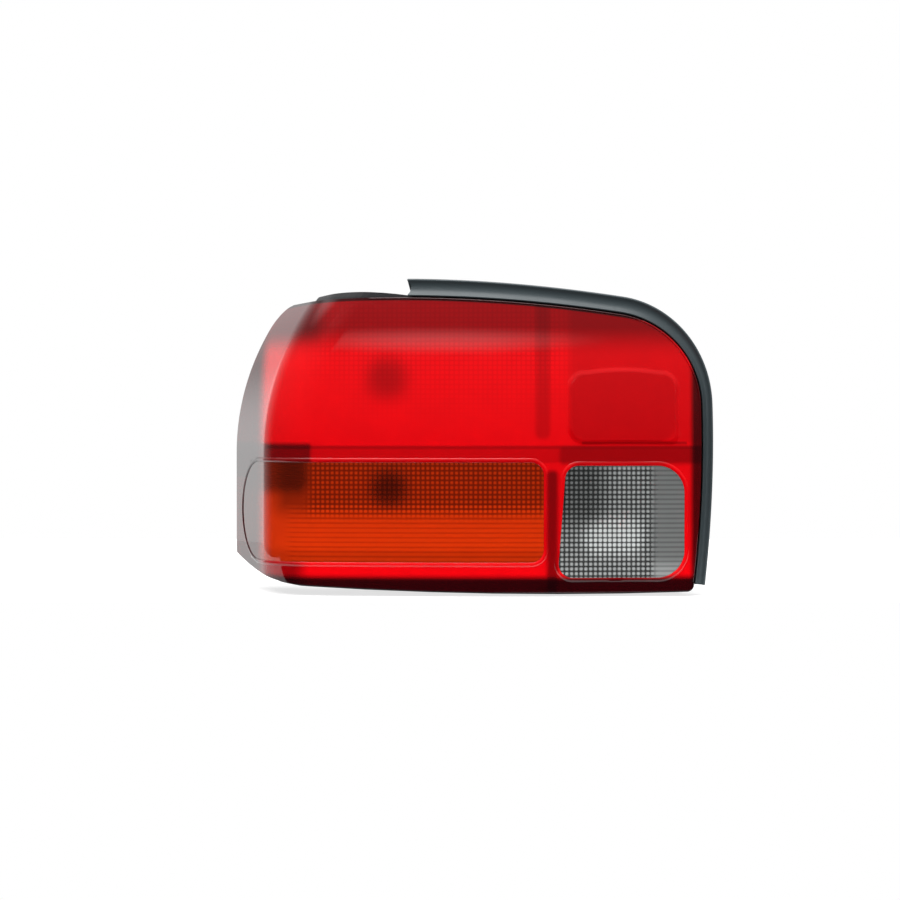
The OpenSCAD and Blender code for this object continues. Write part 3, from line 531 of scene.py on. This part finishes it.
def mouldedPlastic(name, colour, roughness, grain, depth):  # grain and depth in millimetres
    # A grain from the mould breaks the dull sheen into fine points
    material, tree = newMaterial(name)
    place = addNode(tree, "TexCoord", {}).outputs["Object"]
    cells = addNode(tree, "TexVoronoi", {"Vector": place, "Scale": 1 / (grain * mm)})
    cloud = addNode(tree, "TexNoise", {"Vector": place, "Scale": 1 / (cloudSize * mm), "Detail": 4.0})
    rough = addNode(tree, "MapRange", {"Value": cloud.outputs["Fac"], "To Min": roughness - 0.08,
                                       "To Max": roughness + 0.1})
    bump = addNode(tree, "Bump", {"Height": cells.outputs["Distance"], "Strength": 0.4,
                                  "Distance": depth * mm})
    shader = addNode(tree, "BsdfPrincipled", {
        "Base Color": linear(colour), "IOR": 1.5, "Roughness": rough.outputs[0], "Normal": bump.outputs[0]})
    finishWith(tree, shader)
    return material


def platedMetal(name, colour, roughness, cloud):  # cloud in millimetres
    # A plated or metallised surface: bright, with a faint cloud in its polish
    material, tree = newMaterial(name)
    place = addNode(tree, "TexCoord", {}).outputs["Object"]
    haze = addNode(tree, "TexNoise", {"Vector": place, "Scale": 1 / (cloud * mm), "Detail": 4.0})
    rough = addNode(tree, "MapRange", {"Value": haze.outputs["Fac"], "To Min": roughness * 0.7,
                                       "To Max": roughness * 1.5})
    shader = addNode(tree, "BsdfPrincipled", {
        "Base Color": linear(colour), "Metallic": 1.0, "Roughness": rough.outputs[0]})
    finishWith(tree, shader)
    return material


# painted shade and painted light seen through each window: boxes in millimetres on the face, with the light
# factor that is left there
topMiddle = (lens["crestX"], lens["top"] - lens["topBowR"])
topBow = (topMiddle[0] - lens["topBowR"], topMiddle[1] - lens["topBowR"],
          topMiddle[0] + lens["topBowR"], topMiddle[1] + lens["topBowR"])
redFinish = {
    # deep is the colour of full painted shade
    "name": "redAcrylicMoulded", "colour": "#ff0410", "deep": "#180004", "ior": 1.49, "roughness": 0.02,
    "haze": 16.7, "body": 0.6, "sharp": 0.8,
    # painted shade: each box darkens the colour where shade or a dark part would show through
    "paintedShades": [
        {"box": (-160, 64, 160, 120), "r": 8, "soft": 34, "light": 0.3},  # dark upper edge
        {"box": (-160, 64, -92, 120), "r": 8, "soft": 24, "light": 0.4},  # upper left corner
        {"box": topBow, "r": lens["topBowR"], "soft": 1.5, "ring": 3.6, "light": 0.1},  # painted dark line along the edge over the rim
        {"box": (-220, -110, -131, 110), "r": 7, "soft": 13, "light": 0.06},  # flank, painted shade where no reflector stands behind
        {"box": (-62, 28, -38, 52), "r": 11, "soft": 26, "light": 0.55},  # painted shadow of the stop bulb
        {"box": (-200, -24, -98, -1), "r": 2, "soft": 5, "light": 0.25},  # end wall beside the ridge
        {"box": (-98, -13, 160, -4.6), "r": 1, "soft": 3, "light": 0.75},  # ridge
        {"box": (-128, -4.6, 160, -2.4), "r": 1, "soft": 2.2, "light": 0.55},  # foot of the stop optics
        {"box": (43, 2, 52, 90), "r": 4, "soft": 6, "light": 0.7},  # wall between stop and blank panel
        {"box": (64, 0, 160, 110), "r": 8, "soft": 10, "light": 0.8},  # about the blank panel
        {"box": (64, 0, 131, 45), "r": 12, "soft": 5, "light": 0.85},  # blank panel
        {"box": (72, -1.6, 138, 0.2), "r": 0.5, "soft": 1.6, "light": 0.55},  # its foot line
        {"box": (-200, -110, -104, -74), "r": 6, "soft": 18, "light": 0.35},  # lower left corner
        {"box": (-200, -110, 200, -84.5), "r": 4, "soft": 7, "light": 0.02},  # lower border, painted shade of the housing behind
        {"box": (141, -110, 170, 60), "r": 3, "soft": 6, "light": 0.1},  # right border
        {"box": (50, -100, 57, -18), "r": 3, "soft": 6, "light": 0.3},  # wall between the two windows
        {"box": (58, -14, 150, -3), "r": 3, "soft": 6, "light": 0.6},  # shelf above the clear window
    ],
    # painted highlights: the optics' bright points, strongest in these boxes
    "paintedGlintFields": [
        {"box": (-96, 44, 61, 89), "r": 6, "soft": 26, "points": True, "groove": 0.9, "crest": 1.1},
        {"box": (-74, 22, 61, 62), "r": 10, "soft": 34, "points": True, "groove": 0.93, "crest": 1.04},
    ],
}
amberFinish = {
    # deep is the colour of full painted shade
    "name": "amberAcrylicMoulded", "colour": "#e83a08", "deep": "#200200", "ior": 1.49, "roughness": 0.02,
    "haze": 16.7, "body": 0.6, "sharp": 1.2,
    # painted shade: each box darkens the colour where shade would show through
    "paintedShades": [
        {"box": (-220, -90, -131, 0), "r": 7, "soft": 13, "light": 0.06},  # flank
        {"box": (-200, -32, -100, -8), "r": 8, "soft": 15, "light": 0.3},  # end wall
        {"box": (-120, -44, 60, 0), "r": 6, "soft": 30, "light": 0.35},  # upper half
        {"box": (-130, -90, 60, -68), "r": 4, "soft": 12, "light": 0.7},  # lower edge
        {"box": (-60, -40, -38, -18), "r": 11, "soft": 22, "light": 0.25},  # painted shadow of the turn bulb
    ],
    # painted highlights: bright points over the upper half and bright lines over the lower half
    "paintedGlintFields": [
        {"box": (-98, -44, 47, -8), "r": 2, "soft": 14, "points": True, "groove": 0.45, "crest": 2.1},
        {"box": (-112, -80, 60, -40), "r": 2, "soft": 10, "points": False, "groove": 0.7, "crest": 1.15},
    ],
}
clearFinish = {
    # deep is the colour of full painted shade
    "name": "clearAcrylicMoulded", "colour": "#f4f8f7", "deep": "#050808", "ior": 1.49, "roughness": 0.02,
    "haze": 16.7, "body": 0.5, "sharp": 1.1,
    # painted shade, and painted light on the floor of the bowl
    "paintedShades": [
        {"box": (40, -95, 145, 0), "r": 2, "soft": 1, "light": 0.5},  # painted shade over the whole chamber
        {"box": (76, -68, 108, -50), "r": 8, "soft": 26, "light": 2.8},  # painted light on the floor of the bowl
        {"box": (50, -52, 86, -10), "r": 10, "soft": 30, "light": 0.4},  # painted shadow of the reversing bulb and its holder
        {"box": (116, -76, 142, -10), "r": 4, "soft": 12, "light": 0.6},  # painted shade on the smooth side wall
    ],
    # painted highlights: bright points, and bright lines over the smooth side
    "paintedGlintFields": [
        {"box": (50, -88, 117, -14), "r": 4, "soft": 8, "points": True, "groove": 0.1, "crest": 1.25},
        {"box": (112, -88, 140, -14), "r": 4, "soft": 8, "points": False, "groove": 0.6, "crest": 1.0},
    ],
}
bulbFinish = {
    "name": "blownClearGlass", "colour": "#fafcfc", "deep": "#f4f8f8", "ior": 1.49, "roughness": 0.01,
    "haze": 16.7, "body": 0.0, "paintedShades": [], "paintedGlintFields": [],
}
redAcrylic = clearShell(redFinish)
amberAcrylic = clearShell(amberFinish)
clearAcrylic = clearShell(clearFinish)
bulbGlass = clearShell(bulbFinish)

housingPlastic = mouldedPlastic("blackPolypropyleneMoulded", "#1b1b1d", 0.5, 0.6, 0.05)  # dull, fine grain
holderPlastic = mouldedPlastic("blackNylonMoulded", "#202123", 0.45, 0.4, 0.04)  # a little smoother
trimRubber = mouldedPlastic("blackRubberExtruded", "#394144", 0.32, 0.5, 0.02)  # satin, grey on its curve
sealFoam = mouldedPlastic("closedCellFoam", "#17181a", 0.85, 0.8, 0.3)  # matt, pitted where it is cut
butylBead = mouldedPlastic("butylBead", "#303336", 0.6, 1.5, 0.1)  # laid hot, slightly wavy
metallised = platedMetal("vacuumMetallisedPlastic", "#e2e4e6", 0.12, 33.3)  # near mirror
zincPlate = platedMetal("zincPlatedSteel", "#b9b49c", 0.3, 3.33)  # yellowish, cloudy
drawnBrass = platedMetal("drawnBrass", "#d2b87c", 0.28, 5)  # warm, soft sheen
tungsten = platedMetal("tungstenWire", "#8c8c90", 0.4, 2)  # grey, dull

finishes = {
    "housing": housingPlastic, "lens_seal": butylBead, "reflector": metallised,
    "reflector_screws": zincPlate, "body_gasket": sealFoam, "mounting_studs": zincPlate,
    "vent_cap": holderPlastic,
}
for bulb in ("stop", "turn", "reversing"):
    finishes.update({
        bulb + "_bulb_glass": bulbGlass, bulb + "_bulb_cap": drawnBrass,
        bulb + "_bulb_filament": tungsten, bulb + "_bulb_holder": holderPlastic,
        bulb + "_holder_seal": sealFoam, bulb + "_contacts": drawnBrass,
    })
for name, material in finishes.items():
    mesh = nodes[name].data
    mesh.materials.clear()
    mesh.materials.append(material)
print("materials on the CAD nodes")

# Red lens

panel = {"left": 64, "width": 68, "height": 46, "foot": -0.6, "cornerR": 10, "rise": 0.9, "slope": 3.6}
border = {"r": 2.2, "rise": 0.58, "out": 1.4}
edgeBead = {"r": 0.8, "in": 0.75, "depth": 0.35, "from": math.radians(91.0), "to": math.radians(-6.3)}


def panelOutline(grow):
    left, r = panel["left"] - grow, panel["cornerR"] + grow
    right = panel["left"] + panel["width"] + grow
    foot, half = panel["foot"] - grow, math.pi / 2
    crownR = 2 * panel["width"]
    crownAt = np.array([panel["left"] + panel["width"] / 2, panel["foot"] + panel["height"] - crownR])
    leftX, rightX = left + r, right - r
    span = math.asin((rightX - crownAt[0]) / crownR)
    top = arc(crownAt, crownR + grow, half + span, half - span, 24)
    sideTop = top[0][1] - r * 0.95
    return np.concatenate([
        arc([leftX, sideTop], r, 2 * half, half + 0.25, 10), top[1:-1],
        arc([rightX, sideTop], r, half - 0.25, 0, 10),
        arc([right - r / 2, foot + r / 2], r / 2, 0, -half, 8),
        arc([left + r, foot + r], r, -half, -2 * half, 10),
    ])


def panelPlug():  # straight sided but for the soft slope in which the panel rises
    rings = [flatRing(panelOutline(-panel["slope"] / 2), frontY)]
    for t in np.linspace(0, 1, 9):
        rise = panel["rise"] * (0.5 + 0.5 * math.cos(math.pi * t)) - 0.02
        rings.append(alongFace(panelOutline(panel["slope"] * (t - 0.5)), -rise))
    rings.append(flatRing(panelOutline(panel["slope"] / 2), frontY + 100))
    return loft("panelPlug", rings)


redLens = combine(solidBehind("redLens", outerColumns, outerRows, level(0)), outlineBlock(0), "INTERSECT")
raised = solidBehind("raised", plainColumns, plainRows, level(-panel["rise"]))
redLens = combine(redLens, combine(raised, panelPlug(), "INTERSECT"), "UNION")
print("panel", len(redLens.data.polygons))
hollow = solidBehind("hollow", stopColumns, stopRows, stopOptics)
hollow = combine(hollow, outlineBlock(lens["skirtWall"]), "INTERSECT")
beadDepth = border["r"] - border["rise"]
redLens = combine(redLens, tube("turnBead", turnLoop(-border["out"], beadDepth), border["r"]), "UNION")
print("turn bead", len(redLens.data.polygons))
reversingPath = respaced(alongFace(reversingOutline(-border["out"]), beadDepth), 1.5)
redLens = combine(redLens, tube("reversingBead", reversingPath, border["r"]), "UNION")
print("reversing bead", len(redLens.data.polygons))
inset, deep = edgeBead["in"], edgeBead["depth"]
edgePath = np.concatenate([
    arc(topCentre, lens["topBowR"] - inset, edgeBead["from"], cornerA0, 60),
    arc(cornerCentre, lens["cornerR"] - inset, cornerA0, cornerA1, 40, first=1),
    arc(sideCentre, lens["sideBowR"] - inset, cornerA1, edgeBead["to"], 40, first=1)])
redLens = combine(redLens, tube("edgeBead", alongFace(edgePath, deep), edgeBead["r"], closed=False), "UNION")
print("edge bead", len(redLens.data.polygons))
redLens = combine(redLens, hollow, "DIFFERENCE")
skirtEnd = solidBehind("skirtEnd", plainColumns, plainRows, level(lens["skirtDepth"]))
redLens = combine(redLens, skirtEnd, "DIFFERENCE")
redLens = combine(redLens, turnBlock(-weldGap), "DIFFERENCE")
redLens = combine(redLens, reversingBlock(-weldGap), "DIFFERENCE")
finishPiece(redLens, redAcrylic, "red_lens", "lens_red")

# Amber and clear windows

amberLens = combine(solidBehind("amberLens", outerColumns, outerRows, level(0)), turnBlock(0), "INTERSECT")
amberLens = combine(amberLens, solidBehind("hollow", turnColumns, turnRows, turnOptics), "DIFFERENCE")
finishPiece(amberLens, amberAcrylic, "amber_lens", "lens_amber")

clearLens = solidBehind("clearLens", outerColumns, outerRows, level(0))
clearLens = combine(clearLens, reversingBlock(0), "INTERSECT")
hollow = solidBehind("hollow", reversingColumns, reversingRows, reversingOptics)
clearLens = combine(clearLens, hollow, "DIFFERENCE")
finishPiece(clearLens, clearAcrylic, "clear_lens", "lens_clear")

# Trim strip

strip = {"width": 12.1, "sideWidth": 7.7, "startX": -35, "foot": 5, "sink": 2.5, "cove": 2.2, "gap": 0.3,
         "off": 1.1, "lip": 1.1, "flare": 2.4, "rimLip": 1.6, "rimFront": 9.7, "tubFront": 16.2,
         "rimThick": 6.5}


def softened(chain, turns):  # cuts each corner of an open chain, again and again
    for _ in range(turns):
        a, b = chain[:-1], chain[1:]
        mid = np.stack([0.75 * a + 0.25 * b, 0.25 * a + 0.75 * b], 1).reshape(-1, 2)
        chain = np.concatenate([chain[:1], mid, chain[-1:]])
    return chain


def stripSection(w):
    sink, cove, lip = strip["sink"], strip["cove"], strip["lip"]
    off, start = strip["off"], strip["off"] + 0.85
    hollow = w - lip - start
    front = softened(np.array([
        [off, sink + 1.2], [off, sink + 0.5], [start - 0.3, sink], [start, sink + 0.05],
        [start + hollow * 0.2, sink + cove * 0.64], [start + hollow / 2, sink + cove],
        [w - lip - hollow * 0.2, sink + cove * 0.64], [w - lip, sink - 0.35],
        [w - lip * 0.5, sink - 0.35], [w, sink + 0.1], [w, sink + 0.8]]), 2)
    grip = strip["rimLip"] + strip["gap"]
    back = np.array([
        [w, strip["rimFront"] - 1], [grip + (w - grip) * 0.8, strip["rimFront"] + 2],
        [grip + (w - grip) * 0.6, strip["tubFront"] - 0.6], [grip, strip["tubFront"] - 0.6],
        [grip, strip["rimFront"] + strip["rimThick"] / 3], [grip, strip["rimFront"] - strip["gap"]],
        [strip["off"], strip["rimFront"] - strip["gap"]]])
    return np.concatenate([front, back])


def stripStations():
    start = math.acos((strip["startX"] - lens["crestX"]) / lens["topBowR"])
    end = math.asin((strip["foot"] - lens["bottom"]) / lens["sideBowR"])
    full, near, side = strip["width"], strip["width"] - 0.6, strip["sideWidth"]
    runs = [(topCentre, lens["topBowR"], start, cornerA0, full, near, 0, 50),
            (cornerCentre, lens["cornerR"], cornerA0, cornerA1, near, side, 1, 60),
            (sideCentre, lens["sideBowR"], cornerA1, end, side, side, 1, 40)]
    for centre, r, a0, a1, w0, w1, first, steps in runs:
        for i in range(first, steps + 1):
            t = i / steps
            a = a0 + (a1 - a0) * t
            yield centre + r * heading(a), a, w0 + (w1 - w0) * t * t * (3 - 2 * t)


def makeStrip():
    rings = []
    for k, (at, a, w) in enumerate(stripStations()):
        section = stripSection(w)
        xz = at + section[:, :1] * heading(a)
        depth = section[:, 1]
        deepest = strip["sink"] + strip["cove"]
        end = strip["flare"] * (deepest - np.minimum(depth, deepest)) / strip["cove"] if k == 0 else 0
        rings.append(np.stack([xz[:, 0] - end, faceY(xz[:, 0], xz[:, 1]) + depth, xz[:, 1]], -1))
    return loft("trimStrip", rings)


finishPiece(makeStrip(), trimRubber, "trim_rubber", "trim_strip", sharpAngle=40)

# Stage, camera and light

stage = {
    "floorGap": 1.0 * mm, "floorSide": 0.5, "floorBefore": 0.1, "floorBack": 0.6, "floorGlow": 0.72,
    "floorMatt": 0.45, "floorPale": 0.8, "horizon": 0.02, "zenith": 0.4, "backdropFrom": 0.15,
    "backdropFull": 0.95,
    "cards": [  # soft bright patches of the room, in the directions in which the lens mirrors them
        {"toward": (-0.07, -0.95, 0.30), "size": (0.26, 1.0, 0.05), "strength": 1.1},
        {"toward": (-0.66, 0.75, 0.05), "size": (0.12, 0.2, 0.4), "strength": 1.0},
        {"toward": (-0.70, 0.15, 0.70), "size": (0.3, 0.45, 0.2), "strength": 1.4},
        {"toward": (-0.20, -0.15, 0.97), "size": (0.9, 0.6, 0.3), "strength": 5.0},
    ],
    "lamps": [
        {"name": "keyBox", "at": (-0.7, -1.3, 1.2), "aim": (0, -0.05, 0), "size": (1.2, 0.8), "power": 24},
        {"name": "fillBox", "at": (1, -1.4, 0.15), "aim": (0, -0.05, -0.02), "size": (0.8, 1), "power": 14},
        {"name": "topBox", "at": (0.1, -0.5, 1.5), "aim": (0, -0.05, 0.05), "size": (1.4, 0.7), "power": 12},
    ],
}
camera = {"at": (-0.0106, -1.562, 0.021), "aim": (-0.0106, -0.062, -0.005), "lens": 96.0, "sensor": 36}
white = (1, 1, 1, 1)


def grey(level):
    return level, level, level, 1


def seenDirectly(tree):  # 1 where the camera sees it, straight, mirrored or through glass
    path = addNode(tree, "LightPath", {}).outputs
    clean = addNode(tree, "Math", {"operation": "MAXIMUM", 0: path["Is Glossy Ray"],
                                   1: path["Is Transmission Ray"]})
    both = addNode(tree, "Math", {"operation": "MAXIMUM", 0: path["Is Camera Ray"], 1: clean.outputs[0]})
    return both.outputs[0]


def addFloor():
    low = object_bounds()[0][2] - stage["floorGap"]
    side, before, back = (stage[part] / mm for part in ("floorSide", "floorBefore", "floorBack"))
    square = [[x, y, low / mm] for x, y in ((-side, -before), (side, -before), (side, back), (-side, back))]
    floor = meshObject("floor", square, [[0, 1, 2, 3]])
    material, tree = newMaterial("mattWhitePaper")
    # Most of its white is given and the rest is lit, so the shadow stays soft and pale
    glow = addNode(tree, "Emission", {"Color": white, "Strength": stage["floorGlow"]})
    lit = addNode(tree, "BsdfDiffuse", {"Color": grey(stage["floorMatt"])})
    both = addNode(tree, "AddShader", {0: glow.outputs[0], 1: lit.outputs[0]})
    pale = addNode(tree, "BsdfDiffuse", {"Color": grey(stage["floorPale"])})
    seen = addNode(tree, "MixShader", {0: seenDirectly(tree), 1: pale.outputs[0], 2: both.outputs[0]})
    finishWith(tree, seen)
    floor.data.materials.append(material)


def addWorld():
    # white to the camera all round, mirrored only behind the lamp, and else a darker room with its soft cards
    world = bpy.data.worlds.new("studio")
    bpy.context.scene.world = world
    world.use_nodes = True
    tree = world.node_tree
    tree.nodes.clear()
    toward = addNode(tree, "TexCoord", {}).outputs["Generated"]
    axes = addNode(tree, "SeparateXYZ", {0: toward})
    total = addNode(tree, "MapRange", {"Value": axes.outputs["Z"], "From Min": -0.1, "From Max": 0.8,
                                       "To Min": stage["horizon"], "To Max": stage["zenith"]})
    behind = addNode(tree, "MapRange", {**smooth, "Value": axes.outputs["Y"],
                                        "From Min": stage["backdropFrom"], "From Max": stage["backdropFull"]})
    mirrored = addNode(tree, "Math", {"operation": "MULTIPLY", 0: seenDirectly(tree), 1: behind.outputs[0]})
    straight = addNode(tree, "LightPath", {}).outputs["Is Camera Ray"]
    backdrop = addNode(tree, "Math", {"operation": "MAXIMUM", 0: straight, 1: mirrored.outputs[0]})
    room = addNode(tree, "Background", {"Color": white, "Strength": total.outputs[0]})
    pale = addNode(tree, "Background", {"Color": white, "Strength": 1.0})
    seen = addNode(tree, "MixShader", {0: backdrop.outputs[0], 1: room.outputs[0], 2: pale.outputs[0]})
    for card in stage["cards"]:  # each is a smooth ellipse about its own direction
        step = addNode(tree, "VectorMath", {"operation": "SUBTRACT", 0: toward,
                                            1: Vector(card["toward"]).normalized()})
        step = addNode(tree, "VectorMath", {"operation": "DIVIDE", 0: step.outputs[0], 1: card["size"]})
        away = addNode(tree, "VectorMath", {"operation": "LENGTH", 0: step.outputs[0]}).outputs["Value"]
        part = addNode(tree, "MapRange", {**smooth, "Value": away, "From Min": 1.0, "From Max": 0.1,
                                          "To Max": card["strength"]})
        glow = addNode(tree, "Background", {"Color": white, "Strength": part.outputs[0]})
        seen = addNode(tree, "AddShader", {0: seen.outputs[0], 1: glow.outputs[0]})
    addNode(tree, "OutputWorld", {"Surface": seen.outputs[0]})


def addLamp(settings):
    light = bpy.data.lights.new(settings["name"], "AREA")
    light.shape = "RECTANGLE"
    light.size, light.size_y = settings["size"]
    light.energy = settings["power"]
    lamp = bpy.data.objects.new(settings["name"], light)
    bpy.context.scene.collection.objects.link(lamp)
    lamp.visible_glossy = False  # the mirror images come from the soft cards of the world
    aimFrom(lamp, settings["at"], settings["aim"])


def aimFrom(thing, at, aim):
    thing.location = at
    thing.rotation_mode = "QUATERNION"
    thing.rotation_quaternion = (Vector(aim) - Vector(at)).to_track_quat("-Z", "Y")


addFloor()
addWorld()
for settings in stage["lamps"]:
    addLamp(settings)

view = bpy.data.cameras.new("photoView")
view.lens = camera["lens"]
view.sensor_width = camera["sensor"]
eye = bpy.data.objects.new("photoView", view)
bpy.context.scene.collection.objects.link(eye)
aimFrom(eye, camera["at"], camera["aim"])
bpy.context.scene.camera = eye
bpy.context.scene.view_settings.view_transform = "Standard"
